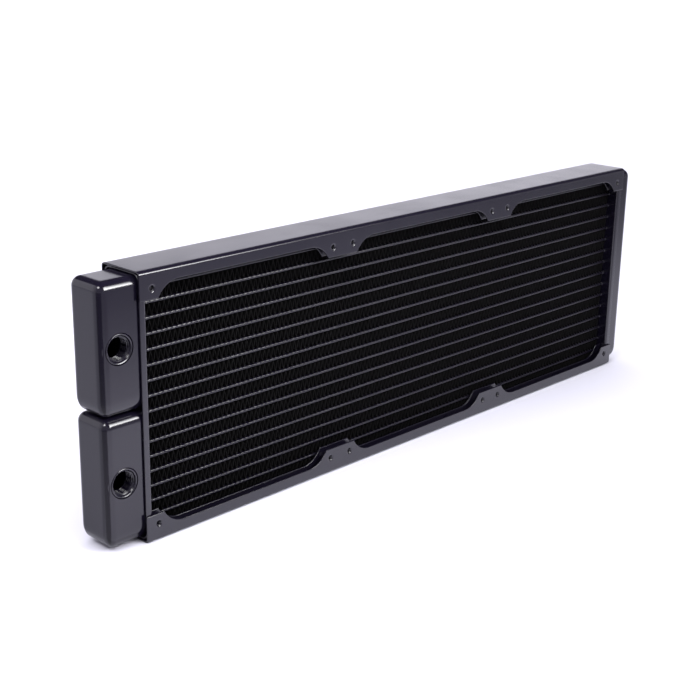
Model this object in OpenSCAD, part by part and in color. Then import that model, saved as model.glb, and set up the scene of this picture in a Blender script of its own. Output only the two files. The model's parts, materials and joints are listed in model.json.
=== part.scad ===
// Liquid cooling radiator for three fans in a row, standing on its long edge.
// +X runs along the length towards the return tank, +Y through the depth towards
// the back, and +Z up. The origin is at the centre of the outline, on the surface
// that the bottom channel stands on.

/* [Fan grid] */
// Number of fans along the length
fan_count = 3; // [1:1:4]
// Distance between the centres of neighbouring fans
fan_size = 140; // [134:1:150]
// Distance between the screw holes of one fan
fan_hole_spacing = 124.5; // [120:0.5:130]
// Radius of the threaded fan screw holes
screw_hole_r = 1.5; // [1.3:0.1:1.8]

/* [Frame] */
// Overall height across the two channels
frame_height = 143; // [142:1:150]
// Overall depth across the front and back flanges
frame_depth = 30; // [28:1:40]
// Thickness of the channel sheet
sheet = 1; // [0.8:0.1:1.2]
// Outer radius of the channel bends
bend_r = 2; // [1.6:0.1:3]
// How far a tab reaches past the centre of its screw hole, into the opening
tab_reach = 5.6; // [4.5:0.1:7]
// How far a tab reaches beside the centre of its screw hole
tab_side = 3.6; // [3:0.1:5]
// Width of the narrow flange between two tabs
narrow_flange = 6.9; // [5:0.1:8]
// Radius of the hollow curve between a tab and the narrow flange
flange_curve_r = 15; // [10:1:20]

/* [Core] */
// Number of flat tubes
tube_count = 16; // [10:1:16]
// Thickness of a flat tube
tube_thickness = 1.6; // [1.4:0.1:2]
// Thickness of the side plates that close the core at its top and bottom
side_plate_sheet = 0.9; // [0.5:0.1:1.5]
// Depth of the core from front to back
core_depth = 14; // [12:1:16]
// Length of one full fold of a fin strip
fin_fold = 3.2; // [3:0.1:12]

/* [Tanks] */
// How far the port tank stands out past the channels
port_tank_reach = 22; // [20:1:30]
// How far the return tank stands out past the channels
return_tank_reach = 12.5; // [10:0.5:20]
// Outer radius of the tank edges
tank_edge_r = 5; // [3:0.5:6]
// Gap between the two halves of the port tank
tank_gap = 0.8; // [0.4:0.1:2]
// Distance between the centres of the two ports
port_spacing = 70; // [60:1:80]

/* [Hidden] */

// Curved faces
$fn = 48;
// Overshoot of a cutting shape past the face it opens
cut = 1;

// Frame
channel_length = fan_count * fan_size;
overall_length = channel_length + port_tank_reach + return_tank_reach;
channel_x0 = port_tank_reach - overall_length / 2;
channel_x1 = channel_x0 + channel_length;
mid_z = frame_height / 2;
front_y = -frame_depth / 2;
end_margin = (fan_size - fan_hole_spacing) / 2;
inside_half = mid_z - sheet;

// Tabs and the hollows between them
tab_half = fan_hole_spacing / 2 - tab_reach;
narrow_half = mid_z - narrow_flange;
curve_drop = narrow_half - tab_half;
curve_run = sqrt(pow(flange_curve_r, 2) - pow(flange_curve_r - curve_drop, 2));
hollow_width = fan_hole_spacing - 2 * tab_side - 2 * (curve_run - flange_curve_r);
hollow_height = 2 * flange_curve_r + cut;

// Threaded collar drawn inwards around each screw hole
collar_r = 2.4;
collar_depth = 1.6;
hole_mouth_r = 2.1;
hole_mouth_depth = 0.4;

// Header pans, nested in the channels
pan_sheet = 1;
pan_gap = 0.1;
pan_rim = 4.2;
pan_corner_r = 4.5;
pan_setback = 0.55;
pan_half_y = frame_depth / 2 - sheet - pan_gap;
pan_half_z = inside_half - pan_gap;
core_x0 = channel_x0 + pan_setback + pan_rim;
core_x1 = channel_x1 - pan_setback - pan_rim;

// Screw guards: inner channels that shield the core from long fan screws
guard_sheet = 1;
guard_bend_r = 1.6;
guard_gap = 0.05;
guard_inset = 5.2;
guard_face_y = front_y + guard_inset;
guard_end_gap = 0.1;
guard_half_z = inside_half - guard_gap;
stack_half_z = guard_half_z - guard_sheet;

// Core: tubes and fin strips share the height between the side plates
tube_pitch = (2 * (stack_half_z - side_plate_sheet) + tube_thickness) / (tube_count + 1);
fin_height = tube_pitch - tube_thickness;
tube_wall = 0.25;
tube_stick_out = 1.5;
slot_gap = 0.1;
fins_half_z = stack_half_z - side_plate_sheet;
fin_inset = 0.3;
fin_depth = core_depth - 2 * fin_inset;
fin_sheet = 0.15;
fin_end_gap = 0.5;
fin_length = core_x1 - core_x0 - 2 * fin_end_gap;
half_folds = 2 * round(fin_length / fin_fold);
half_fold = fin_length / half_folds;
// Height of a cut through the sloping fin sheet, and half the travel of its middle line
fin_cut = fin_sheet * sqrt(pow(half_fold, 2) + pow(fin_height, 2)) / half_fold;
fin_swing = (fin_height - fin_cut) / 2;

// Tanks
tank_sheet = 1;
tank_gap_in_pan = 0.3;
tank_half_y = pan_half_y - pan_sheet - tank_gap_in_pan;
tank_half_z = pan_half_z - pan_sheet - tank_gap_in_pan;
tank_seat_gap = 0.05;

// Ports: British Standard Pipe parallel thread, size G1/4
thread_major_r = 6.58;
port_mouth_r = 7.4;
port_mouth_depth = port_mouth_r - thread_major_r;
bush_r = 8.2;
bush_length = 8;
bush_collar_r = 9.4;
bush_collar_length = 1.5;
bush_seat_gap = 0.05;
port_x = channel_x0 - port_tank_reach / 2;

function two_digits(i) = str(i < 10 ? "0" : "", i);

// Screw hole positions along the length
function hole_x(fan, side) =
    channel_x0 + fan * fan_size + end_margin + side * fan_hole_spacing;

// Rectangle about the origin with its four corners rounded
module rounded_rectangle(width, height, r) {
    square([width - 2 * r, height], center = true);
    square([width, height - 2 * r], center = true);
    for (side = [-1, 1], up = [-1, 1])
        translate([side * (width / 2 - r), up * (height / 2 - r)])
            circle(r);
}

// Rectangle about the origin with half-round ends, thin across the second axis
module flat_oval(width, height) {
    square([width - height, height], center = true);
    for (side = [-1, 1])
        translate([side * (width - height) / 2, 0])
            circle(height / 2);
}

// Carries a flat outline in (y, z) along the length, from x0 to x1
module along_x(x0, x1) {
    translate([x0, 0, 0])
        rotate([90, 0, 90])
            linear_extrude(x1 - x0)
                children();
}

// Carries a flat outline in (x, z) through the depth, from y0 to y1
module through_depth(y0, y1) {
    translate([0, y1, 0])
        rotate([90, 0, 0])
            linear_extrude(y1 - y0)
                children();
}

// Copies children for the top edge of the frame, or turned over for the bottom edge
module at_edge(top) {
    translate([0, 0, mid_z])
        mirror([0, 0, top ? 0 : 1])
            children();
}

// Section of a folded sheet channel, open towards -z, measured from mid height
module channel_section(half_y, web_z, edge_z, thickness, r) {
    rise = web_z - edge_z;
    difference() {
        translate([0, edge_z])
            rounded_rectangle(2 * half_y, 2 * rise, r);
        translate([0, edge_z - thickness])
            rounded_rectangle(2 * (half_y - thickness), 2 * rise, r - thickness);
        translate([-half_y - cut, edge_z - 2 * rise])
            square([2 * (half_y + cut), 2 * rise]);
    }
}

// Hollows between neighbouring tabs, cut through the front and back flanges
module flange_hollows() {
    for (fan = [0:fan_count - 1]) {
        centre = (hole_x(fan, 0) + hole_x(fan, 1)) / 2;
        through_depth(front_y - cut, -front_y + cut)
            translate([centre, narrow_half - hollow_height / 2])
                rounded_rectangle(hollow_width, hollow_height, flange_curve_r);
    }
}

// Children at each screw hole of one edge, on the outer face of both flanges, facing +y
module at_screw_holes() {
    for (fan = [0:fan_count - 1], side = [0, 1], turn = [0, 180])
        translate([hole_x(fan, side), 0, fan_hole_spacing / 2])
            rotate([0, 0, turn])
                translate([0, front_y, 0])
                    rotate([-90, 0, 0])
                        children();
}

module outer_channel() {
    difference() {
        union() {
            along_x(channel_x0, channel_x1)
                channel_section(frame_depth / 2, mid_z, tab_half, sheet, bend_r);
            at_screw_holes()
                translate([0, 0, sheet / 2])
                    cylinder(h = sheet / 2 + collar_depth, r = collar_r);
        }
        flange_hollows();
        at_screw_holes() {
            translate([0, 0, -cut])
                cylinder(h = cut + sheet + collar_depth + cut, r = screw_hole_r);
            cylinder(h = hole_mouth_depth, r1 = hole_mouth_r, r2 = screw_hole_r);
        }
    }
}

module screw_guard() {
    difference() {
        along_x(core_x0 + guard_end_gap, core_x1 - guard_end_gap)
            channel_section(-guard_face_y, guard_half_z, tab_half, guard_sheet, guard_bend_r);
        flange_hollows();
    }
}

module side_plate() {
    translate([core_x0 + fin_end_gap, -core_depth / 2, fins_half_z])
        cube([fin_length, core_depth, side_plate_sheet]);
}

module top_channel() {
    color([0.10, 0.10, 0.11])
        at_edge(true)
            outer_channel();
}

module bottom_channel() {
    color([0.10, 0.10, 0.11])
        at_edge(false)
            outer_channel();
}

module top_screw_guard() {
    color([0.07, 0.07, 0.08])
        at_edge(true)
            screw_guard();
}

module bottom_screw_guard() {
    color([0.07, 0.07, 0.08])
        at_edge(false)
            screw_guard();
}

module top_side_plate() {
    color([0.06, 0.06, 0.07])
        at_edge(true)
            side_plate();
}

module bottom_side_plate() {
    color([0.06, 0.06, 0.07])
        at_edge(false)
            side_plate();
}

// Heights of the tubes and fin strips, counted from the top
function tube_z(i) = mid_z + ((tube_count + 1) / 2 - i) * tube_pitch;
function fin_z(i) = mid_z + ((tube_count + 2) / 2 - i) * tube_pitch;

// Pan with a rim towards -x and a slot for each tube; its core side lies at x = 0
module header_pan() {
    difference() {
        along_x(-pan_rim, 0)
            rounded_rectangle(2 * pan_half_y, 2 * pan_half_z, pan_corner_r);
        along_x(-pan_rim - cut, -pan_sheet)
            rounded_rectangle(
                2 * (pan_half_y - pan_sheet),
                2 * (pan_half_z - pan_sheet),
                pan_corner_r - pan_sheet
            );
        for (i = [1:tube_count])
            along_x(-pan_sheet - cut, cut)
                translate([0, tube_z(i) - mid_z])
                    flat_oval(core_depth + 2 * slot_gap, tube_thickness + 2 * slot_gap);
    }
}

module port_header_plate() {
    color([0.11, 0.11, 0.12])
        translate([core_x0, 0, mid_z])
            header_pan();
}

module return_header_plate() {
    color([0.11, 0.11, 0.12])
        translate([core_x1, 0, mid_z])
            mirror([1, 0, 0])
                header_pan();
}

// Block from x = 0 to x = length with every edge rounded but those at x = length
module drawn_block(length, depth, z0, z1, r) {
    height = z1 - z0;
    translate([0, 0, (z0 + z1) / 2]) {
        along_x(r, length)
            rounded_rectangle(depth, height, r);
        translate([0, r - depth / 2, r - height / 2])
            cube([2 * r, depth - 2 * r, height - 2 * r]);
        for (side = [-1, 1])
            translate([r, side * (depth / 2 - r), r - height / 2])
                cylinder(h = height - 2 * r, r = r);
        for (up = [-1, 1]) {
            translate([r, depth / 2 - r, up * (height / 2 - r)])
                rotate([90, 0, 0])
                    cylinder(h = depth - 2 * r, r = r);
            for (side = [-1, 1])
                translate([r, side * (depth / 2 - r), up * (height / 2 - r)])
                    sphere(r);
        }
    }
}

// Deep-drawn tank shell, closed at x = 0 and open at x = length
module tank_shell(length, z0, z1) {
    difference() {
        drawn_block(length, 2 * tank_half_y, z0, z1, tank_edge_r);
        translate([tank_sheet, 0, 0])
            drawn_block(
                length,
                2 * (tank_half_y - tank_sheet),
                z0 + tank_sheet,
                z1 - tank_sheet,
                tank_edge_r - tank_sheet
            );
    }
}

// Half of the port tank above mid height, with the seat for its port bush
module port_tank_half() {
    length = core_x0 - pan_sheet - tank_seat_gap + overall_length / 2;
    difference() {
        translate([-overall_length / 2, 0, 0])
            tank_shell(length, tank_gap / 2, tank_half_z);
        translate([port_x, -tank_half_y - cut, port_spacing / 2])
            rotate([-90, 0, 0])
                cylinder(h = cut + 2 * tank_sheet + cut, r = bush_r + bush_seat_gap);
    }
}

module upper_port_tank() {
    color([0.10, 0.10, 0.11])
        at_edge(true)
            port_tank_half();
}

module lower_port_tank() {
    color([0.10, 0.10, 0.11])
        at_edge(false)
            port_tank_half();
}

module return_tank() {
    length = overall_length / 2 - core_x1 - pan_sheet - tank_seat_gap;
    color([0.10, 0.10, 0.11])
        translate([overall_length / 2, 0, mid_z])
            mirror([1, 0, 0])
                tank_shell(length, -tank_half_z, tank_half_z);
}

// Threaded bush, its mouth flush with the front face of the tank
module port_bush() {
    translate([port_x, -tank_half_y, port_spacing / 2])
        rotate([-90, 0, 0])
            difference() {
                union() {
                    cylinder(h = bush_length, r = bush_r);
                    translate([0, 0, tank_sheet + bush_seat_gap])
                        cylinder(h = bush_collar_length, r = bush_collar_r);
                }
                translate([0, 0, -cut])
                    cylinder(h = bush_length + 2 * cut, r = thread_major_r);
                cylinder(h = port_mouth_depth, r1 = port_mouth_r, r2 = thread_major_r);
            }
}

module upper_port_bush() {
    color([0.12, 0.12, 0.13])
        at_edge(true)
            port_bush();
}

module lower_port_bush() {
    color([0.12, 0.12, 0.13])
        at_edge(false)
            port_bush();
}

// Flat tube, open at both ends, passing through both header plates
module flat_tube() {
    along_x(core_x0 - pan_sheet - tube_stick_out, core_x1 + pan_sheet + tube_stick_out)
        difference() {
            flat_oval(core_depth, tube_thickness);
            flat_oval(core_depth - 2 * tube_wall, tube_thickness - 2 * tube_wall);
        }
}

module tube(i) {
    color([0.16, 0.16, 0.17])
        translate([0, 0, tube_z(i)])
            flat_tube();
}

// Zigzag line from one end of the core to the other, raised by lift
function zigzag(lift) = [
    for (k = [0:half_folds])
        [k * half_fold, (k % 2 == 0 ? fin_swing : -fin_swing) + lift]
];

function reversed(points) = [for (k = [len(points) - 1:-1:0]) points[k]];

module fin_strip(i) {
    color([0.05, 0.05, 0.055])
        translate([core_x0 + fin_end_gap, 0, fin_z(i)])
            through_depth(-fin_depth / 2, fin_depth / 2)
                polygon(concat(zigzag(fin_cut / 2), reversed(zigzag(-fin_cut / 2))));
}

top_channel();
bottom_channel();
top_screw_guard();
bottom_screw_guard();
top_side_plate();
bottom_side_plate();
port_header_plate();
return_header_plate();
upper_port_tank();
lower_port_tank();
return_tank();
upper_port_bush();
lower_port_bush();
for (i = [1:tube_count])
    tube(i);
for (i = [1:tube_count + 1])
    fin_strip(i);
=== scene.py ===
"""Liquid cooling radiator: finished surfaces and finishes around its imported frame.

Lengths are in metres. Section sizes that the frame's boxes don't give are named below in
millimetres times MM. Every piece is worked out as whole arrays: a section carried along a
path, or a surface of two parameters on a grid.
"""
import json
import math

import bmesh
import bpy
import numpy as np
from mathutils import Matrix, Vector


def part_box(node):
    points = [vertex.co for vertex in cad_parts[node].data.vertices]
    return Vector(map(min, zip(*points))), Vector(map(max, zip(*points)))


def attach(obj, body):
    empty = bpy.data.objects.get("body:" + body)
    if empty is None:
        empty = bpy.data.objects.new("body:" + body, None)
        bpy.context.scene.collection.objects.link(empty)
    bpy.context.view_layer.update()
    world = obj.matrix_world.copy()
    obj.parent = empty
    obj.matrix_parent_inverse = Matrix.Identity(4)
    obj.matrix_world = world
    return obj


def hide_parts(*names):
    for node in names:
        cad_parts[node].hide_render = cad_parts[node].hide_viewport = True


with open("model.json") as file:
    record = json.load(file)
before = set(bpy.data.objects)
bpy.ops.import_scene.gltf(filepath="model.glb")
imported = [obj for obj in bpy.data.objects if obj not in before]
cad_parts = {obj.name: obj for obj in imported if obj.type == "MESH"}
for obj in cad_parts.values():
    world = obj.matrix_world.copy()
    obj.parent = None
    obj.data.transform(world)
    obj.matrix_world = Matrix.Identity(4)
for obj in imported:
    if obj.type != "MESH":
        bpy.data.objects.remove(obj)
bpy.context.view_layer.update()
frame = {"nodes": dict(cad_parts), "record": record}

MM = 0.001
MOUNTS = {mount["name"]: mount for mount in frame["record"]["mounts"]}

# ---- sizes read from the frame ------------------------------------------------------

CHANNEL_LOW, CHANNEL_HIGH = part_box("top_channel")
FLOOR_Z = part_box("bottom_channel")[0].z
MID_Z = (FLOOR_Z + CHANNEL_HIGH.z) / 2
HALF_HEIGHT = CHANNEL_HIGH.z - MID_Z
TAB_LEVEL = CHANNEL_LOW.z - MID_Z
FAN_CENTRES = [MOUNTS[f"front_fan_screws_{k}"]["pos_m"][0] for k in (1, 2, 3)]
FAN_SPACING = MOUNTS["front_fan_screws_1"]["dims"]["spacing_x_mm"] * MM
SCREW_R = MOUNTS["front_fan_screws_1"]["dims"]["hole_r_mm"] * MM
SCREW_X = [centre + side * FAN_SPACING / 2 for centre in FAN_CENTRES for side in (-1, 1)]
SCREW_LEVEL = FAN_SPACING / 2
TUBES = sorted(name for name in frame["nodes"] if name.startswith("tube_"))
FIN_STRIPS = sorted(name for name in frame["nodes"] if name.startswith("fin_strip_"))

# ---- section sizes ------------------------------------------------------------------

SHEET = 1 * MM
LIP = 0.4 * MM               # radius of the sheets' rounded edges
BEND_R = 2 * MM
BEND_EASE = 1.3 * MM         # how far a bend opens out into the web
GUARD_BEND_R = 1.6 * MM
TAB_SIDE = 3.6 * MM          # from a screw's middle to the side of its tab
NARROW_FLANGE = 6.9 * MM
FLANGE_CURVE_R = 15 * MM
NARROW_LEVEL = HALF_HEIGHT - NARROW_FLANGE
CURVE_RUN = math.sqrt(FLANGE_CURVE_R ** 2 - (FLANGE_CURVE_R - NARROW_LEVEL + TAB_LEVEL) ** 2)

SCREW_BLOCK = 3.2 * MM       # half the side of the square that a screw hole is set in
SCREW_STEPS = 8              # grid steps along that side
SCREW_PITCH = 0.5 * MM
SCREW_THREAD_DEPTH = 0.24 * MM
MOUTH_RIM_R = 2.75 * MM
MOUTH_R = 2.45 * MM
MOUTH_DEPTH = 0.55 * MM
COLLAR_R = 2.4 * MM
COLLAR_END = 2.6 * MM
COLLAR_CHAMFER = 0.15 * MM
COLLAR_FOOT = 0.3 * MM

PAN_CORNER_R = 4.5 * MM
PAN_BEND_R = 1.5 * MM
# section of the collar round a tube: how far out from the tube, how far up from the pan
TUBE_COLLAR = np.array([(-0.1, -0.1), (0.7, -0.1), (0.4, 0.03), (0.2, 0.1), (0.1, 0.25), (-0.1, 0.3)]) * MM
TANK_EDGE_R = 5 * MM
TANK_FOOT = 8 * MM           # height of the bottom edge's curve
TANK_RIM = 1.4 * MM
TANK_EDGE_STEPS = 8
TANK_CORNER_STEPS = 16
TANK_FRONT_POINTS = 13
TANK_END_POINTS = 9
PORT_SEAT_R = 8.25 * MM
PORT_BLOCK = 9 * MM          # half the side of the block that a port is set in
PORT_ROWS = 17
PORT_COLUMNS = 19

BUSH_R = 8.2 * MM
BUSH_BORE_R = 6.2 * MM
BUSH_LENGTH = 8 * MM
BUSH_CHAMFER = 0.3 * MM
BUSH_COLLAR_R = 9.4 * MM
BUSH_COLLAR_FRONT = 1.05 * MM
BUSH_COLLAR_BACK = 2.6 * MM
BUSH_EDGE = 0.1 * MM
THREAD_MAJOR_R = MOUNTS["upper_port"]["dims"]["r_mm"] * MM
THREAD_PITCH = 1.337 * MM
THREAD_DEPTH = 0.856 * MM
THREAD_START = 1.2 * MM
THREAD_END = 7.5 * MM

TUBE_WALL = 0.25 * MM
BEAD = 0.32 * MM             # height of the solder beads on a tube's noses
FIN_FOLD = 3.2 * MM
FIN_SHEET = 0.15 * MM


# ---- mesh kit -----------------------------------------------------------------------

class Skin:
    """Collects arrays of points and the quads between them, and makes one mesh of them."""

    def __init__(self):
        self.points = np.zeros((0, 3))
        self.quads = []

    def add(self, *coordinates):
        """Puts in points given by their x, y and z arrays, and returns their numbers."""
        points = np.stack(np.broadcast_arrays(*coordinates), -1)
        numbers = np.arange(points[..., 0].size).reshape(points.shape[:-1]) + len(self.points)
        self.points = np.concatenate([self.points, points.reshape(-1, 3)])
        return numbers

    def weave(self, numbers, wrap_rows=False, wrap_columns=False, gaps=None):
        """Quads between neighbouring points of a grid, but none where gaps is true."""
        if wrap_rows:
            numbers = np.concatenate([numbers, numbers[:1]], 0)
        if wrap_columns:
            numbers = np.concatenate([numbers, numbers[:, :1]], 1)
        quads = np.stack([numbers[:-1, :-1], numbers[1:, :-1], numbers[1:, 1:], numbers[:-1, 1:]], -1)
        self.quads.append(quads.reshape(-1, 4) if gaps is None else quads[~gaps])

    def piece(self, name, material, slot, *nodes, sharp=40):
        """Joins the points that meet, faces the skin outwards and stands it in for the nodes."""
        mesh = bpy.data.meshes.new(name)
        mesh.from_pydata(self.points.tolist(), [], np.concatenate(self.quads).tolist())
        work = bmesh.new()
        work.from_mesh(mesh)
        bmesh.ops.remove_doubles(work, verts=work.verts, dist=0.001 * MM)
        bmesh.ops.dissolve_degenerate(work, dist=0.0005 * MM, edges=work.edges)
        bmesh.ops.recalc_face_normals(work, faces=work.faces)
        work.to_mesh(mesh)
        work.free()
        mesh.shade_smooth()
        mesh.set_sharp_from_angle(angle=math.radians(sharp))
        mesh.materials.append(material)
        made = bpy.data.objects.new(name, mesh)
        bpy.context.scene.collection.objects.link(made)
        weights = made.modifiers.new("flat faces stay flat", "WEIGHTED_NORMAL")
        weights.keep_sharp = True
        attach(made, "root")
        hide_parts(*nodes)
        return made


def border(block):
    """Numbers once round the border of a block of a grid."""
    return np.concatenate([block[0, :-1], block[:-1, -1], block[-1, :0:-1], block[:0:-1, 0]])


def turn(low, high, steps):
    """Angles in radians from low to high degrees, as a column."""
    return np.radians(np.linspace(low, high, steps + 1))[:, None]


def rounded_loop(half_a, half_b, steps_a, steps_b, arc_steps=8):
    """A rounded rectangle is base + r * out: its straight sides and corner centres lie on base,
    a rectangle, and out is the outward direction, which turns a quarter at each corner."""
    bases, outs = [], []
    ends = ((half_a, half_b), (-half_a, half_b), (-half_a, -half_b), (half_a, -half_b))
    for corner, (a, b) in enumerate(ends):
        angle = turn(90 * corner, 90 * corner + 90, arc_steps)[:, 0]
        out = np.stack([np.cos(angle), np.sin(angle)], -1)
        bases.append(np.full_like(out, 1) * (a, b))
        outs.append(out)
        steps = steps_a if corner % 2 == 0 else steps_b
        along = np.linspace(0, 1, steps + 1)[1:-1, None]
        bases.append((1 - along) * (a, b) + along * ends[(corner + 1) % 4])
        outs.append(np.repeat(out[-1:], steps - 1, 0))
    return np.concatenate(bases), np.concatenate(outs)


# ---- folded channels ----------------------------------------------------------------

def flange_edge(x):
    """Level of a flange's free edge: the tab level near each screw, the narrow level between
    two tabs, and between them an arc whose drop is r minus the root of r squared - run squared."""
    level = np.full_like(x, TAB_LEVEL)
    for centre in FAN_CENTRES:
        inside = FAN_SPACING / 2 - TAB_SIDE - np.abs(x - centre)
        run = np.clip(CURVE_RUN - inside, 0, CURVE_RUN)
        drop = FLANGE_CURVE_R - np.sqrt(FLANGE_CURVE_R ** 2 - run ** 2)
        level = np.where(inside > 0, NARROW_LEVEL - drop, level)
    return level


def channel_columns(low, high):
    """Places along a channel where its section is worked out, and how far the section draws
    in there: a quarter circle of the lip at both ends, then the tabs' corners and curves."""
    curve = FLANGE_CURVE_R * np.sin(np.linspace(0, math.asin(CURVE_RUN / FLANGE_CURVE_R), 17))
    corner = FAN_SPACING / 2 - TAB_SIDE
    clear = SCREW_BLOCK + 0.05 * MM
    x = [np.linspace(low + LIP, high - LIP, 43)]
    for centre in FAN_CENTRES:
        x += [centre + side * (corner - CURVE_RUN + curve) for side in (-1, 1)]
    for hole in SCREW_X:
        x = [places[np.abs(places - hole) > clear] for places in x]
    x += [hole + np.linspace(-SCREW_BLOCK, SCREW_BLOCK, SCREW_STEPS + 1) for hole in SCREW_X]
    x = np.unique(np.round(np.concatenate(x), 8))
    x = x[(x >= low + LIP) & (x <= high - LIP)]
    angle = np.linspace(0, math.pi / 2, 5)[:-1]
    lead_in = LIP * (1 - np.cos(angle))
    draw = LIP * (1 - np.sin(angle))
    x = np.concatenate([low + lead_in, x, (high - lead_in)[::-1]])
    return x, np.concatenate([draw, np.zeros(len(x) - 2 * len(draw)), draw[::-1]])


def folded_channel(name, material, slot, top, half_y, web, bend_r, screws):
    """Half of the section runs from the middle of the web round the bend, down the flange,
    over the rounded free edge and back inside; it is carried along x while the free edge
    follows flange_edge, and the other half is its mirror. The bend is a quarter circle that
    opens out towards the web by the square of one minus the sine of its angle."""
    low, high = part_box(name)
    x, draw = channel_columns(low.x, high.x)
    bend_y, bend_z = half_y - bend_r, web - bend_r
    edge = flange_edge(x) + LIP + draw
    tab_span = bend_z - TAB_LEVEL - LIP
    rows = np.linspace(SCREW_LEVEL + SCREW_BLOCK, SCREW_LEVEL - SCREW_BLOCK, SCREW_STEPS + 1)
    above, below = [0.02, 0.15], [0.93, 0.985, 1]
    drops = np.concatenate([above, (bend_z - rows) / tab_span, below])[:, None]
    flange_z = bend_z + (edge - bend_z) * drops
    bend, corner = turn(0, 90, 8), turn(0, 90, 4)
    opening = BEND_EASE * (1 - np.sin(bend)) ** 2
    web_y = np.linspace(0, 1, 5)[:, None] * (bend_y - BEND_EASE)
    outer_y = half_y - draw
    inner_y = half_y - SHEET + draw
    flat = np.zeros_like(x)
    y = np.concatenate([
        web_y + flat,
        bend_y - opening[1:] + (bend_r - draw) * np.sin(bend[1:]),
        outer_y + 0 * drops,
        outer_y - LIP + LIP * np.cos(corner[1:]),
        inner_y + LIP - LIP * np.sin(corner[:-1]),
        inner_y + 0 * drops,
        bend_y - opening[:0:-1] + (bend_r - SHEET + draw) * np.sin(bend[:0:-1]),
        web_y[::-1] + flat,
    ])
    z = np.concatenate([
        web - draw + 0 * web_y,
        bend_z + (bend_r - draw) * np.cos(bend[1:]),
        flange_z,
        edge - LIP * np.sin(corner[1:]),
        edge - LIP * np.cos(corner[:-1]),
        flange_z[::-1],
        bend_z + (bend_r - SHEET + draw) * np.cos(bend[:0:-1]),
        web - SHEET + draw + 0 * web_y,
    ])
    up = 1 if top else -1
    first = len(web_y) + len(bend) - 1 + len(above)
    last = len(y) - first - SCREW_STEPS - 1
    half = len(y) // 2
    skin = Skin()
    for side in (-1, 1):
        numbers = skin.add(x, side * y, MID_Z + up * z)
        gaps = np.zeros((len(y) - 1, len(x) - 1), bool)
        for hole in SCREW_X if screws else ():
            column = int(np.argmin(np.abs(x - hole + SCREW_BLOCK)))
            across = slice(column, column + SCREW_STEPS + 1)
            outside = numbers[first:first + SCREW_STEPS + 1, across]
            inside = numbers[last:last + SCREW_STEPS + 1, across][::-1]
            for row in (first, last):
                gaps[row:row + SCREW_STEPS, column:column + SCREW_STEPS] = True
            screw_hole(skin, border(outside), border(inside), hole, MID_Z + up * SCREW_LEVEL, side, half_y)
        skin.weave(numbers, gaps=gaps)
        for column in (0, -1):
            skin.weave(np.stack([numbers[:half, column], numbers[:half - 1:-1, column]]))
    skin.piece(name + "_sheet", material, slot, name)


def screw_hole(skin, outside, inside, x, z, side, face_y):
    """Turns about the hole's axis: a dished mouth, a helical thread, whose radius follows the
    depth over the pitch minus the angle over a full turn, and the drawn collar behind."""
    rim = skin.points[outside]
    angle = np.arctan2(rim[:, 2] - z, rim[:, 0] - x)
    dish = turn(0, 80, 6)
    thread_depth = np.arange(0.6 * MM, COLLAR_END - COLLAR_CHAMFER, SCREW_PITCH / 5)[:, None]
    phase = thread_depth / SCREW_PITCH - side * angle / (2 * math.pi)
    groove = np.abs(2 * (phase % 1) - 1)
    collar = np.array([
        (SCREW_R, COLLAR_END),
        (COLLAR_R - COLLAR_CHAMFER, COLLAR_END),
        (COLLAR_R, COLLAR_END - COLLAR_CHAMFER),
        (COLLAR_R, SHEET + COLLAR_FOOT),
        (COLLAR_R + COLLAR_FOOT, SHEET),
    ])
    radius = np.concatenate([
        np.full((1, len(angle)), MOUTH_RIM_R),
        MOUTH_R - (MOUTH_R - SCREW_R) * np.sin(dish) + 0 * angle,
        SCREW_R - SCREW_THREAD_DEPTH * groove,
        collar[:, :1] + 0 * angle,
    ])
    depth = np.concatenate([[[0]], MOUTH_DEPTH * (1 - np.cos(dish)), thread_depth, collar[:, 1:]])
    rings = skin.add(x + radius * np.cos(angle), side * (face_y - depth), z + radius * np.sin(angle))
    skin.weave(np.concatenate([outside[None], rings, inside[None]]), wrap_columns=True)


# ---- header plates ------------------------------------------------------------------

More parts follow.
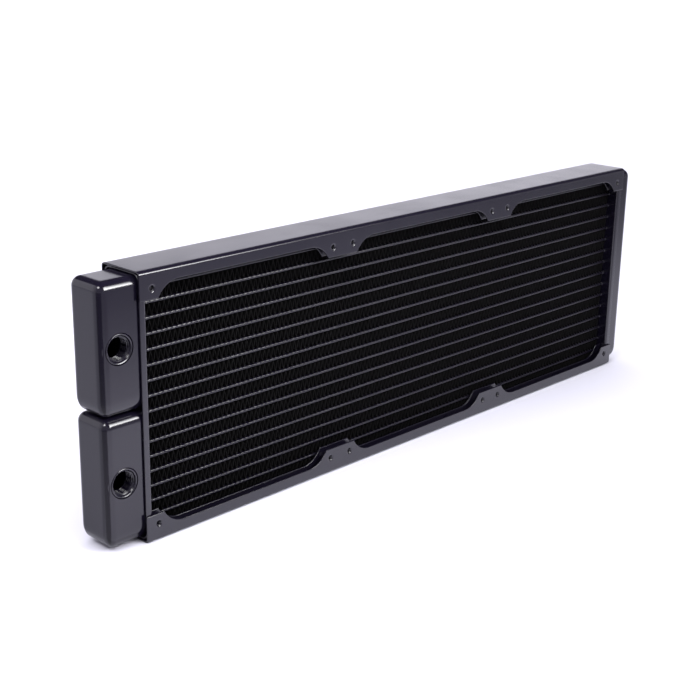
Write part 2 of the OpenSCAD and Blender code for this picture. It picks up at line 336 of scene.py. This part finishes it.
def header_plate(name, material, slot, inward):
    """A rounded loop carried along the section of a pan: up the rim, round its bend and over
    the floor, where the loop's radius shrinks to nothing and a grid closes the middle. A drawn
    collar stands round each tube."""
    low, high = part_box(name)
    face_x = high.x if inward > 0 else low.x
    half_y = high.y - PAN_CORNER_R
    half_z = (high.z - low.z) / 2 - PAN_CORNER_R
    depth = high.x - low.x
    steps_y, steps_z = 8, 40
    base, out = rounded_loop(half_y, half_z, steps_y, steps_z)
    bend, lip = turn(0, 90, 6)[:, 0], turn(0, 90, 4)[:, 0]
    foot = PAN_CORNER_R - PAN_BEND_R
    inner_bend = PAN_BEND_R - SHEET
    floor_r = np.linspace(foot, 0, 4)[1:]
    back = np.concatenate([
        np.full(3, SHEET),
        PAN_BEND_R - inner_bend * np.cos(bend),
        depth - LIP + LIP * np.sin(lip),
        depth - LIP + LIP * np.cos(lip),
        PAN_BEND_R - PAN_BEND_R * np.sin(bend),
        np.zeros(3),
    ])
    radius = np.concatenate([
        floor_r[::-1],
        foot + inner_bend * np.sin(bend),
        PAN_CORNER_R - SHEET + LIP * (1 - np.cos(lip)),
        PAN_CORNER_R - LIP * (1 - np.sin(lip)),
        foot + PAN_BEND_R * np.cos(bend),
        floor_r,
    ])
    skin = Skin()
    around = base[None] + radius[:, None, None] * out[None]
    x = face_x - inward * back[:, None]
    skin.weave(skin.add(x + 0 * around[..., 0], around[..., 0], MID_Z + around[..., 1]), wrap_columns=True)
    rows = np.linspace(-half_z, half_z, steps_z + 1)[:, None]
    columns = np.linspace(-half_y, half_y, steps_y + 1)
    for x in (face_x, face_x - inward * SHEET):
        skin.weave(skin.add(x, columns + 0 * rows, MID_Z + rows + 0 * columns))
    for tube in TUBES:
        tube_low, tube_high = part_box(tube)
        nose_r = (tube_high.z - tube_low.z) / 2
        base, out = rounded_loop(tube_high.y - nose_r, 0, 2, 2, 6)
        swell = TUBE_COLLAR[:, 0, None, None]
        rise = TUBE_COLLAR[:, 1, None]
        around = base[None] + (nose_r + swell) * out[None]
        middle = (tube_low.z + tube_high.z) / 2
        rings = skin.add(face_x + inward * rise, around[..., 0], middle + around[..., 1])
        skin.weave(rings, wrap_rows=True, wrap_columns=True)
    skin.piece(name + "_pan", material, slot, name)


# ---- tanks --------------------------------------------------------------------------

def tank_layer(skin, end_x, inward, reach, half_y, z_rows, lean, block_reach):
    """One layer of a tank's skin. Its section is a U: front, end and back walls joined by
    quarter circles about fixed centres. The circles' radius, lean, shrinks to nothing over
    the top and bottom edges, where a grid closes the layer. Returns its numbers and rim."""
    face = np.linspace(block_reach, TANK_EDGE_R, TANK_FRONT_POINTS)
    front = np.concatenate([[reach, reach - TANK_RIM], face])
    arc = turn(90, 0, TANK_CORNER_STEPS)[1:-1, 0]
    flat_y = half_y - TANK_EDGE_R
    across = np.linspace(-flat_y, flat_y, TANK_END_POINTS)
    side_y = np.full(len(front) + len(arc), flat_y)
    u = np.concatenate([front, np.full(2 * len(arc) + len(across), TANK_EDGE_R), front[::-1]])
    u_out = np.concatenate([0 * front, np.cos(arc), 1 + 0 * across, np.cos(arc[::-1]), 0 * front])
    y = np.concatenate([-side_y, across, side_y])
    y_out = np.concatenate([-1 + 0 * front, -np.sin(arc), 0 * across, np.sin(arc[::-1]), 1 + 0 * front])
    numbers = skin.add(end_x + inward * (u - lean * u_out), y + lean * y_out, z_rows + 0 * u)
    ends = [skin.add(end_x + inward * front[:, None], across + 0 * front[:, None], float(z))
            for z in (z_rows[0, 0], z_rows[-1, 0])]
    for end in ends:
        skin.weave(end)
    rim = np.concatenate([numbers[:, 0], ends[1][0], numbers[::-1, -1], ends[0][0, ::-1]])
    return numbers, rim


def tank(name, material, slot, inward, port=None):
    """A deep-drawn shell, open towards the core: an outer and an inner layer joined at the rim,
    and round the port's seat if there is one. The bottom edge is a quarter ellipse, taller than
    the other edges' quarter circles."""
    low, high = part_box(name)
    end_x = low.x if inward > 0 else high.x
    reach = high.x - low.x
    edge = turn(90, 0, TANK_EDGE_STEPS)
    foot_z, shoulder_z = low.z + TANK_FOOT, high.z - TANK_EDGE_R
    block_reach = 0.72 * reach
    rows = np.linspace(foot_z, shoulder_z, 15)
    if port:
        x, _, z = port["pos_m"]
        block_reach = abs(x - end_x) + PORT_BLOCK
        near = z + np.linspace(-PORT_BLOCK, PORT_BLOCK, PORT_ROWS)
        rows = np.concatenate([[foot_z, foot_z + 2 * MM], near, [(high.z + z) / 2, shoulder_z]])
    rows = rows[:, None]
    skin = Skin()
    layers = []
    for inset in (0, SHEET):
        r = TANK_EDGE_R - inset
        bottom = foot_z - (TANK_FOOT - inset) * np.sin(edge[:-1])
        top = shoulder_z + r * np.sin(edge[-2::-1])
        z_rows = np.concatenate([bottom, rows, top])
        lean = np.concatenate([r * np.cos(edge[:-1]), r + 0 * rows, r * np.cos(edge[-2::-1])])
        layers.append(tank_layer(skin, end_x, inward, reach, high.y, z_rows, lean, block_reach))
    gaps = np.zeros(np.array(layers[0][0].shape) - 1, bool)
    if port:
        row, column = TANK_EDGE_STEPS + 2, 2
        block = slice(row, row + PORT_ROWS), slice(column, column + PORT_COLUMNS)
        gaps[row:row + PORT_ROWS - 1, column:column + PORT_COLUMNS - 1] = True
        port_seat(skin, border(layers[0][0][block]), border(layers[1][0][block]), end_x, high.y, x, z)
    for numbers, _ in layers:
        skin.weave(numbers, gaps=gaps)
    skin.weave(np.stack([layers[0][1], layers[1][1]]), wrap_columns=True)
    skin.piece(name + "_shell", material, slot, name)


def port_seat(skin, outside, inside, end_x, half_y, x, z):
    """Rings that go over from the block's border to a circle, each point kept on the tank's
    front, which is flat up to the edge's quarter circle, and then straight through the wall."""
    rim = skin.points[outside]
    angle = np.arctan2(rim[:, 2] - z, rim[:, 0] - x)
    seat_x = x + PORT_SEAT_R * np.cos(angle)
    seat_z = z + PORT_SEAT_R * np.sin(angle)
    share = np.array([0.25, 0.5, 0.75, 0.93, 1])[:, None]   # of the way from the border to the seat
    ring_x = rim[:, 0] + (seat_x - rim[:, 0]) * share
    ring_z = rim[:, 2] + (seat_z - rim[:, 2]) * share
    past = np.clip(TANK_EDGE_R - np.abs(ring_x - end_x), 0, TANK_EDGE_R)
    ring_y = -(half_y - TANK_EDGE_R) - np.sqrt(TANK_EDGE_R ** 2 - past ** 2)
    rings = skin.add(ring_x, ring_y, ring_z)
    wall = skin.add(seat_x, ring_y[-1] + np.array([[0.1], [1]]) * MM, seat_z)
    skin.weave(np.concatenate([outside[None], rings, wall, inside[None]]), wrap_columns=True)


def port_bush(name, material, slot, port):
    """A section turned about the port's axis: the back end, the collar behind the tank's wall, a
    groove, the rounded ring that shows, and the mouth. In the bore the radius follows a rounded
    thread form, a smoothstep of the depth over the pitch plus the angle over a full turn, which
    deepens behind the mouth."""
    x, _, z = port["pos_m"]
    low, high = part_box(name)
    angle = np.linspace(0, 2 * math.pi, 97)[:-1]
    depth = np.arange(THREAD_START, THREAD_END, THREAD_PITCH / 12)[:, None]
    phase = depth / THREAD_PITCH + angle / (2 * math.pi)
    ramp = np.clip((np.abs(2 * (phase % 1) - 1) - 0.1) / 0.38, 0, 1)
    crest = ramp * ramp * (3 - 2 * ramp)
    grown = np.clip((depth - THREAD_START + 0.1 * MM) / (0.8 * MM), 0.1, 1)
    bore = THREAD_MAJOR_R - THREAD_DEPTH * crest * grown
    back = [
        (BUSH_BORE_R, BUSH_LENGTH),
        (BUSH_R - BUSH_CHAMFER, BUSH_LENGTH),
        (BUSH_R, BUSH_LENGTH - BUSH_CHAMFER),
    ]
    collar = [
        (BUSH_R, BUSH_COLLAR_BACK),
        (BUSH_COLLAR_R - BUSH_EDGE, BUSH_COLLAR_BACK),
        (BUSH_COLLAR_R, BUSH_COLLAR_BACK - BUSH_EDGE),
        (BUSH_COLLAR_R, BUSH_COLLAR_FRONT + BUSH_EDGE),
        (BUSH_COLLAR_R - BUSH_EDGE, BUSH_COLLAR_FRONT),
        (BUSH_R, BUSH_COLLAR_FRONT),
    ]
    # radius and depth in millimetres of the stretches at the tank's face
    groove = [(8.2, 0.58), (8.16, 0.5), (7.68, 0.1)]
    ring = [(7.6, 0.04), (7.52, 0.01), (7.46, 0.015), (7.38, 0.045)]
    mouth = [(7.05, 0.22), (6.98, 0.28), (6.9, 0.4), (6.66, 0.9), (6.6, 1.1)]
    outline = np.concatenate([back, collar, np.array(groove + ring + mouth) * MM])
    radius = np.concatenate([outline[:, :1] + 0 * angle, bore])
    inset = np.concatenate([outline[:, 1:], depth])
    skin = Skin()
    rings = skin.add(x + radius * np.cos(angle), low.y + inset, z + radius * np.sin(angle))
    skin.weave(rings, wrap_rows=True, wrap_columns=True)
    skin.piece(name + "_turned", material, slot, name, sharp=50)


# ---- core ---------------------------------------------------------------------------

def flat_tube(name, material, slot, number):
    """A flat oval carried along x. Solder beads at every fold of the fin strips above and below
    swell its front and back noses by a squared raised cosine, above and below in turn."""
    low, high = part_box(name)
    nose_r = (high.z - low.z) / 2
    base, out = rounded_loop(high.y - nose_r, 0, 2, 2, 5)
    folds = round((high.x - low.x) / FIN_FOLD)
    steps_per_fold = 12
    x = np.linspace(low.x, high.x, folds * steps_per_fold + 1)[:, None]
    wander = 0.6 * np.sin(x * 37 + number * 1.7) + 0.4 * np.sin(x * 91 + number * 2.9)
    beat = 2 * math.pi * (x - low.x) / FIN_FOLD + wander
    above = (0.5 + 0.5 * np.cos(beat)) ** 2
    below = (0.5 - 0.5 * np.cos(beat + 0.5 * wander)) ** 2
    upward = np.clip(0.5 + 0.9 * out[:, 1], 0, 1)
    bead = above * upward + below * (1 - upward)
    nose = np.clip(np.abs(out[:, 0]) - 0.2, 0, 1)
    swell = BEAD * (bead - 1) * nose
    y = base[:, 0] + (nose_r + swell) * out[:, 0]
    z = (low.z + high.z) / 2 + base[:, 1] + (nose_r + swell) * out[:, 1]
    skin = Skin()
    outside = skin.add(x + 0 * y, y, z)
    bore_r = nose_r - TUBE_WALL
    ends = np.array([[low.x], [high.x]])
    inside = skin.add(ends, base[:, 0] + bore_r * out[:, 0],
                      (low.z + high.z) / 2 + base[:, 1] + bore_r * out[:, 1])
    skin.weave(np.concatenate([inside[:1], outside, inside[1:]]), wrap_columns=True)
    skin.weave(inside, wrap_columns=True)
    skin.piece(name + "_drawn", material, slot, name)


def fin_strip(name, material, slot, number):
    """A thin sheet folded along x: the arcsine of a slightly reduced cosine, which is a
    triangle wave with rounded crests. The sheet's two faces lie half its thickness to each
    side, square to the fold line. The spacing of the folds wanders a little."""
    low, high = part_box(name)
    half_folds = 2 * round((high.x - low.x) / FIN_FOLD)
    in_half_fold = np.array([0, 0.09, 0.3, 0.7, 0.91])      # closest together at the crests
    turns = np.append((np.arange(half_folds)[:, None] + in_half_fold).ravel(), half_folds)
    wander = 0.05 * np.sin(turns * 0.61 + number * 2.1) + 0.04 * np.sin(turns * 0.23 + number)
    ease = np.clip(np.minimum(turns, half_folds - turns), 0, 1)
    share = (turns + wander * ease) / half_folds
    swing = (high.z - low.z - 1.6 * FIN_SHEET) / 2
    reduced = 0.985
    z = swing * np.arcsin(reduced * np.cos(np.pi * turns)) / math.asin(reduced)
    x = low.x + FIN_SHEET + (high.x - low.x - 2 * FIN_SHEET) * share
    run, rise = np.gradient(x), np.gradient(z)
    length = np.hypot(run, rise)
    across = np.array([[1], [-1]]) * FIN_SHEET / 2
    face_x = x - across * rise / length
    face_z = (low.z + high.z) / 2 + z + across * run / length
    x_loop = np.concatenate([face_x, face_x[::-1]])
    z_loop = np.concatenate([face_z, face_z[::-1]])
    y_loop = np.array([[low.y], [low.y], [high.y], [high.y]])
    skin = Skin()
    numbers = skin.add(x_loop, y_loop, z_loop)
    skin.weave(numbers, wrap_rows=True)
    for end in (0, -1):
        skin.weave(numbers[[0, 1, 3, 2], end].reshape(2, 2))
    skin.piece(name + "_folded", material, slot, name, sharp=60)


def side_plate(name, material, slot):
    """A thin plate whose section is a rounded rectangle, drawn in at both ends."""
    low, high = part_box(name)
    half_z = (high.z - low.z) / 2
    base, out = rounded_loop(high.y - LIP, half_z - LIP, 8, 2, 4)
    angle = turn(0, 90, 4)[:, 0]
    r = np.concatenate([[0], LIP * np.sin(angle[1:]), LIP * np.sin(angle[:0:-1]), [0]])
    lead = LIP * (1 - np.cos(angle))
    x = np.concatenate([low.x + lead, (high.x - lead)[::-1]])
    around = base[None] + r[:, None, None] * out[None]
    skin = Skin()
    numbers = skin.add(x[:, None] + 0 * around[..., 0], around[..., 0],
                       (low.z + high.z) / 2 + around[..., 1])
    skin.weave(numbers, wrap_columns=True)
    rows = np.linspace(-1, 1, 3)[:, None] * (half_z - LIP)
    columns = np.linspace(-1, 1, 9) * (high.y - LIP)
    for end in (low.x, high.x):
        skin.weave(skin.add(end, columns + 0 * rows, (low.z + high.z) / 2 + rows + 0 * columns))
    skin.piece(name + "_flat", material, slot, name)


# ---- materials ----------------------------------------------------------------------

class Finish:
    """A material's nodes, on Object coordinates in metres."""

    def __init__(self, name, specular=0.5):
        self.material = bpy.data.materials.new(name)
        self.material.use_nodes = True
        self.tree = self.material.node_tree
        self.shader = self.tree.nodes["Principled BSDF"]
        self.shader.inputs["Specular IOR Level"].default_value = specular
        self.place = self.tree.nodes.new("ShaderNodeTexCoord").outputs["Object"]

    def noise(self, grain, detail=3.0, roughness=0.5):
        """Noise whose largest grain is about that many metres across."""
        node = self.tree.nodes.new("ShaderNodeTexNoise")
        node.inputs["Scale"].default_value = 1 / grain
        node.inputs["Detail"].default_value = detail
        node.inputs["Roughness"].default_value = roughness
        self.tree.links.new(self.place, node.inputs["Vector"])
        return node.outputs["Fac"]

    def distance(self):
        """Distance from the object's origin in metres."""
        node = self.tree.nodes.new("ShaderNodeVectorMath")
        node.operation = "LENGTH"
        self.tree.links.new(self.place, node.inputs[0])
        return node.outputs["Value"]

    def axis(self, name):
        """Place along one of the axes in metres."""
        node = self.tree.nodes.new("ShaderNodeSeparateXYZ")
        self.tree.links.new(self.place, node.inputs["Vector"])
        return node.outputs[name]

    def spread(self, value, low, high, start=0.0, end=1.0):
        """Carries value from the range low to high over to start to end."""
        node = self.tree.nodes.new("ShaderNodeMapRange")
        for socket, number in zip(("From Min", "From Max", "To Min", "To Max"), (low, high, start, end)):
            node.inputs[socket].default_value = number
        self.tree.links.new(value, node.inputs["Value"])
        return node.outputs["Result"]

    def blend(self, share, first, second):
        """Colour between first and second."""
        node = self.tree.nodes.new("ShaderNodeMix")
        node.data_type = "RGBA"
        for socket, colour in ((node.inputs[6], first), (node.inputs[7], second)):
            if isinstance(colour, tuple):
                socket.default_value = (*colour, 1)
            else:
                self.tree.links.new(colour, socket)
        self.tree.links.new(share, node.inputs["Factor"])
        return node.outputs[2]

    def feed(self, value, socket):
        """Links value to the shader's socket of that name."""
        self.tree.links.new(value, self.shader.inputs[socket])

    def bump(self, *layers):
        """Stacks layers of (height, distance in metres) into the shader's normal."""
        normal = None
        for height, distance in layers:
            node = self.tree.nodes.new("ShaderNodeBump")
            node.inputs["Distance"].default_value = distance
            self.tree.links.new(height, node.inputs["Height"])
            if normal:
                self.tree.links.new(normal, node.inputs["Normal"])
            normal = node.outputs["Normal"]
        self.feed(normal, "Normal")


def black_paint(name, rough_low, rough_high, peel, specular=0.5, base=(0.0029, 0.0023, 0.0056),
                grain=0.004):
    """Sprayed black paint: broad cloudiness, fine dust grains, which are lighter than the base
    by grain, and orange peel as bump, whose height is peel millimetres."""
    paint = Finish(name, specular=specular)
    dusty = tuple(channel + grain for channel in base)
    clouds = paint.spread(paint.noise(40 * MM, 2), 0.35, 0.65)
    dust = paint.spread(paint.noise(0.9 * MM, 4, 0.7), 0.66, 0.78)
    paint.feed(paint.blend(dust, base, dusty), "Base Color")
    paint.feed(paint.spread(clouds, 0, 1, rough_low, rough_high), "Roughness")
    paint.bump((paint.noise(2.2 * MM, 1), peel * MM), (paint.noise(0.35 * MM, 2), 0.1 * peel * MM))
    return paint.material


def make_materials():
    """One finish per slot of the record."""
    return {
        "channel_paint": black_paint("channel paint", 0.17, 0.23, 0.010),
        "guard_paint": black_paint("screw guard paint", 0.22, 0.30, 0.012),
        "side_plate_paint": black_paint("side plate paint", 0.30, 0.40, 0.012),
        "header_paint": black_paint("header paint", 0.20, 0.28, 0.012),
        "tank_paint": black_paint("tank paint", 0.13, 0.18, 0.008, specular=0.41),
        "bush_brass": black_paint("blackened bush", 0.16, 0.22, 0.004, specular=0.45),
        "tube_paint": black_paint("tube paint", 0.30, 0.42, 0.015, specular=0.3),
        "fin_paint": black_paint("fin paint", 0.55, 0.70, 0.020, specular=0.05,
                                 base=(0.0053, 0.005, 0.0052), grain=0.009),
    }


# ---- stage --------------------------------------------------------------------------

SURROUND = (0.985, 0.965, 1.07, 1)      # colour of the light from the surround
SHEET_LIFT = 0.3 * MM                   # how far the reflected sheets lie above the floor


def matt(name):
    """A matt finish for a sheet of the stage."""
    shade = Finish(name)
    shade.shader.inputs["Roughness"].default_value = 0.9
    return shade


def floor_sheet():
    """A plain pale floor, one large flat sheet under the object."""
    pale = matt("pale floor")
    clouds = pale.spread(pale.noise(300 * MM, 2), 0.3, 0.7)
    pale.feed(pale.blend(clouds, (0.36, 0.355, 0.41), (0.37, 0.365, 0.42)), "Base Color")
    mesh = bpy.data.meshes.new("floor")
    reach = 200.0
    corners = [(-reach, -reach, FLOOR_Z), (reach, -reach, FLOOR_Z), (reach, reach, FLOOR_Z),
               (-reach, reach, FLOOR_Z)]
    mesh.from_pydata(corners, [], [(0, 1, 2, 3)])
    mesh.materials.append(pale.material)
    made = bpy.data.objects.new("floor", mesh)
    bpy.context.scene.collection.objects.link(made)


def lamp(name, kind):
    """A new light that the camera doesn't see."""
    light = bpy.data.objects.new(name, bpy.data.lights.new(name, kind))
    bpy.context.scene.collection.objects.link(light)
    light.visible_camera = False
    return light


def soft_panel(name, start, end, bottom, top, radiance):
    """An upright soft panel between two places on the floor plan, lit towards its left as seen
    from start to end. radiance is its own brightness."""
    light = lamp(name, "AREA")
    light.data.shape = "RECTANGLE"
    light.data.size = (end - start).length
    light.data.size_y = top - bottom
    light.data.energy = radiance * math.pi * light.data.size * light.data.size_y
    light.data.spread = math.radians(110)
    middle = (start + end) / 2
    light.location = (middle.x, middle.y, (bottom + top) / 2)
    along = (end - start).normalized()
    light.rotation_euler = Vector((along.y, -along.x, 0)).to_track_quat("Z", "Y").to_euler()


def key_softbox():
    """The main softbox at the front right; towards its right end the brightness tails off."""
    start, along = Vector((-0.16, -0.70)), Vector((0.44, 0.19))
    bottom, top = 0.345, 0.84
    ends = (0.0, 0.88, 1.0, 1.08, 1.15, 1.22, 1.29, 1.38)
    radiances = (17.5, 13, 8.8, 5.4, 2.8, 1.1, 0.4)
    for number, (low, high, radiance) in enumerate(zip(ends, ends[1:], radiances)):
        plan = start + along * low, start + along * high
        soft_panel(f"key softbox {number}", *plan, bottom, top, radiance)


def side_softbox():
    """A small softbox at the upper left, tilted to face the object."""
    light = lamp("side softbox", "AREA")
    radiance = 20
    light.data.size = 0.36
    light.data.energy = radiance * math.pi * light.data.size ** 2
    away = Vector((-0.66, -0.18, 0.73))
    light.location = Vector((0, 0, MID_Z)) + away * 1.3
    light.rotation_euler = away.to_track_quat("Z", "Y").to_euler()


def reflected_sheet(name, place, outline, shade):
    """A sheet that is only seen in reflections."""
    sheet = Skin()
    sheet.weave(sheet.add(*outline))
    mesh = bpy.data.meshes.new(name)
    mesh.from_pydata(sheet.points.tolist(), [], np.concatenate(sheet.quads).tolist())
    mesh.materials.append(shade.material)
    card = bpy.data.objects.new(name, mesh)
    card.location = place
    bpy.context.scene.collection.objects.link(card)
    for rays in ("camera", "diffuse", "shadow", "transmission"):
        setattr(card, f"visible_{rays}", False)


def floor_in_front():
    """The floor in front is brightest near the object and dims away from it: a sheet seen only in
    reflections, with a painted pool of light that is lightest close to the object and dims away from it
    and towards the right.
    """
    shade = matt("floor in front")
    # painted light: the sheet's colour is lightest close to the object and darker away from it and towards
    # the right, as a pool of light on the floor
    side = shade.spread(shade.axis("X"), 0.45, 0.9)
    near = shade.spread(shade.axis("Y"), -0.4, -0.12)
    away = shade.blend(side, (0.17, 0.168, 0.195), (0.11, 0.108, 0.127))
    close = shade.blend(side, (0.56, 0.55, 0.64), (0.33, 0.325, 0.38))
    shade.feed(shade.blend(near, away, close), "Base Color")
    outline = (*np.meshgrid(np.linspace(-1, 2, 4), np.linspace(-1.5, 0, 4)), 0)
    place = (CHANNEL_LOW.x, CHANNEL_LOW.y - MM, FLOOR_Z + SHEET_LIFT)
    reflected_sheet("floor_in_front", place, outline, shade)


def floor_behind():
    """The floor behind the object's left end, a little dimmer than in front: a sheet seen only in
    reflections, whose darker colour is painted shade.
    """
    shade = matt("floor behind")
    dim = shade.spread(shade.noise(200 * MM, 1), 0.3, 0.7)
    # painted shade: a darker floor colour than in front, with a faint random tone
    shade.feed(shade.blend(dim, (0.245, 0.242, 0.285), (0.255, 0.252, 0.295)), "Base Color")
    outline = (*np.meshgrid(np.linspace(-1.5, 0, 4), np.linspace(0, 2, 4)), 0)
    place = (CHANNEL_LOW.x - 25 * MM, 0, FLOOR_Z + SHEET_LIFT)
    reflected_sheet("floor_behind", place, outline, shade)


def dark_card():
    """A dark sheet on the floor in front of the port tank, seen only in reflections: painted shade, as a
    tripod and its shade would give, darker further out.
    """
    shade = matt("dark card")
    # painted shade: dark grey near its corner, darkening to near black further out
    far = shade.spread(shade.distance(), 0.02, 0.3)
    shade.feed(shade.blend(far, (0.2, 0.2, 0.21), (0.02, 0.02, 0.022)), "Base Color")
    angle = np.radians(np.linspace(178, 239, 16))
    reach = np.array([[0.0], [1.6]])
    outline = (reach * np.cos(angle), reach * np.sin(angle), 0)
    place = (CHANNEL_LOW.x - 20 * MM, -10 * MM, FLOOR_Z + 2 * SHEET_LIFT)
    reflected_sheet("dark_card", place, outline, shade)


def dim_wall():
    """A round wall that takes the bright horizon's place in front: an arc of radius wall_r about
    the object, whose glow rises towards its ends."""
    shade = Finish("dim wall", specular=0.0)
    shade.shader.inputs["Base Color"].default_value = (0, 0, 0, 1)
    shade.feed(shade.spread(shade.axis("Y"), -0.9, 1.35, 0.53, 1.4), "Emission Strength")
    shade.shader.inputs["Emission Color"].default_value = SURROUND
    wall_r, wall_height = 4.5, np.array([[0.0], [1.22]])
    angle = np.radians(np.linspace(163, 377, 41)) + 0 * wall_height
    outline = (wall_r * np.cos(angle), wall_r * np.sin(angle), wall_height)
    reflected_sheet("dim_wall", (0, 0, FLOOR_Z), outline, shade)


def overhead_glow(irradiance, softness):
    """Even light from above, which keeps the floor white however far it runs. It casts soft
    shadows and doesn't show in reflections."""
    light = lamp("overhead glow", "SUN")
    light.data.energy = irradiance
    light.data.angle = math.radians(softness)
    light.visible_glossy = False


def studio_world():
    """A pale surround: bright all round at the horizon, bright further up behind the object and
    at the left, dimmer at the front, and dark overhead."""
    world = bpy.data.worlds.new("studio")
    bpy.context.scene.world = world
    world.use_nodes = True
    tree = world.node_tree
    sky = tree.nodes["Background"]
    sky.inputs["Color"].default_value = SURROUND
    parts = tree.nodes.new("ShaderNodeSeparateXYZ")
    tree.links.new(tree.nodes.new("ShaderNodeTexCoord").outputs["Generated"], parts.inputs["Vector"])

    def math_node(operation, first, second):
        node = tree.nodes.new("ShaderNodeMath")
        node.operation = operation
        for socket, value in zip(node.inputs, (first, second)):
            if isinstance(value, float):
                socket.default_value = value
            else:
                tree.links.new(value, socket)
        return node.outputs["Value"]

    def fade(value, *numbers):
        node = tree.nodes.new("ShaderNodeMapRange")
        node.interpolation_type = "SMOOTHSTEP"
        for socket, number in zip(("From Min", "From Max", "To Min", "To Max"), numbers):
            node.inputs[socket].default_value = number
        tree.links.new(value, node.inputs["Value"])
        return node.outputs["Result"]

    leftwards = math_node("MINIMUM", parts.outputs["X"], 0.0)
    height = math_node("ADD", parts.outputs["Z"], leftwards)
    low = fade(height, 0.27, 0.38, 1.4, 0.0)
    behind = fade(parts.outputs["Y"], -0.2, 0.3, 0.35, 1.0)
    horizon = fade(parts.outputs["Z"], 0.195, 0.235, 1.0, 0.0)
    glow = math_node("MULTIPLY", low, math_node("MAXIMUM", behind, horizon))
    tree.links.new(math_node("ADD", glow, 0.05), sky.inputs["Strength"])


def camera():
    """A long lens at the front left, looking slightly down."""
    data = bpy.data.cameras.new("camera")
    data.lens, data.sensor_width = 67.76, 36                # both in millimetres
    data.clip_start = 0.01
    made = bpy.data.objects.new("camera", data)
    bpy.context.scene.collection.objects.link(made)
    heading, tilt, roll = (math.radians(angle) for angle in (46.34, -18.15, 1.02))
    aim = (Matrix.Rotation(-heading, 4, "Z") @ Matrix.Rotation(math.pi / 2 + tilt, 4, "X")
           @ Matrix.Rotation(roll, 4, "Z"))
    made.matrix_world = Matrix.Translation((-0.5742, -0.5070, 0.3051)) @ aim
    bpy.context.scene.camera = made


# ---- the radiator -------------------------------------------------------------------

def build():
    """Puts a finished piece in place of each node."""
    paint = make_materials()
    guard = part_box("top_screw_guard")[1]
    for edge in ("top", "bottom"):
        top = edge == "top"
        folded_channel(f"{edge}_channel", paint["channel_paint"], "channel_paint", top,
                       CHANNEL_HIGH.y, HALF_HEIGHT, BEND_R, screws=True)
        folded_channel(f"{edge}_screw_guard", paint["guard_paint"], "guard_paint", top,
                       guard.y, guard.z - MID_Z, GUARD_BEND_R, screws=False)
        side_plate(f"{edge}_side_plate", paint["side_plate_paint"], "side_plate_paint")
    header_plate("port_header_plate", paint["header_paint"], "header_paint", 1)
    header_plate("return_header_plate", paint["header_paint"], "header_paint", -1)
    for half in ("upper", "lower"):
        port = MOUNTS[f"{half}_port"]
        tank(f"{half}_port_tank", paint["tank_paint"], "tank_paint", 1, port)
        port_bush(f"{half}_port_bush", paint["bush_brass"], "bush_brass", port)
    tank("return_tank", paint["tank_paint"], "tank_paint", -1)
    for number, name in enumerate(TUBES):
        flat_tube(name, paint["tube_paint"], "tube_paint", number)
    for number, name in enumerate(FIN_STRIPS):
        fin_strip(name, paint["fin_paint"], "fin_paint", number)


def light_stage():
    """Floor, surround, lights and what only reflections show."""
    floor_sheet()
    studio_world()
    bpy.context.scene.view_settings.view_transform = "Standard"
    key_softbox()
    side_softbox()
    overhead_glow(8.2, 100)
    floor_in_front()
    floor_behind()
    dark_card()
    dim_wall()


build()
light_stage()
camera()
